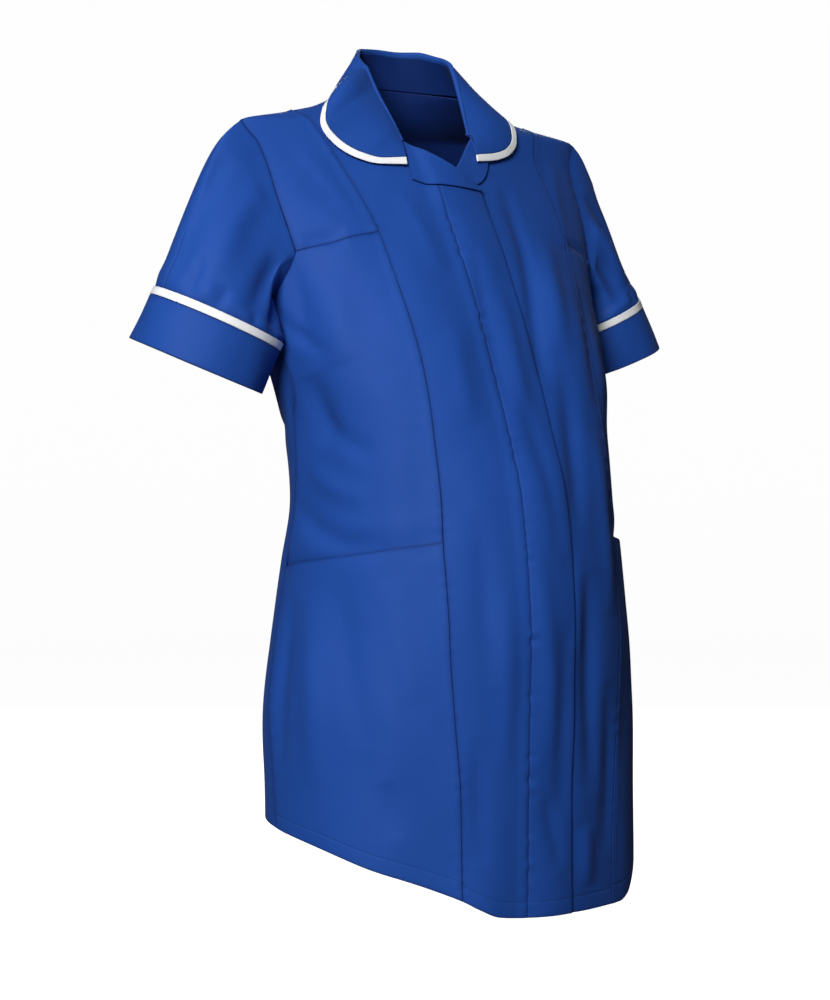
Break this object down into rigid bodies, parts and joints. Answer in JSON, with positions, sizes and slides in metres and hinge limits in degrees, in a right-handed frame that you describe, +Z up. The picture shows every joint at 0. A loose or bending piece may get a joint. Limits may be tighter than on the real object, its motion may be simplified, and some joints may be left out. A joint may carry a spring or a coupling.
{
  "type": "maternity tunic",
  "caption": "Short-sleeved blue work tunic cut for maternity wear, in its worn shape: revere collar and cuffs edged in white, concealed front fastening, princess seams, pockets.",
  "frame": {"origin": "on the centre plane, level with the nape seam of the neck, between the two shoulders that carry the tunic", "axes": "+Z up towards the head, -Y towards the front, +X towards the wearer's left"},
  "size_m": [0.6052, 0.3118, 0.8028],
  "materials": {
    "blue_cloth": "royal blue poly-cotton twill, matt with a faint sheen",
    "white_trim": "white poly-cotton, matt"
  },
  "bodies": {
    "root": {"back": "blue_cloth", "back_neck_facing": "blue_cloth", "collar": "blue_cloth", "centre_front_right": "blue_cloth", "side_front_upper_right": "blue_cloth", "side_front_lower_right": "blue_cloth", "pocket_right": "blue_cloth", "lapel_right": "blue_cloth", "sleeve_right": "blue_cloth", "cuff_right": "blue_cloth", "centre_front_left": "blue_cloth", "side_front_upper_left": "blue_cloth", "side_front_lower_left": "blue_cloth", "pocket_left": "blue_cloth", "lapel_left": "blue_cloth", "sleeve_left": "blue_cloth", "cuff_left": "blue_cloth", "collar_trim": "white_trim", "cuff_trim_right": "white_trim", "cuff_trim_left": "white_trim"}
  },
  "joints": []
}
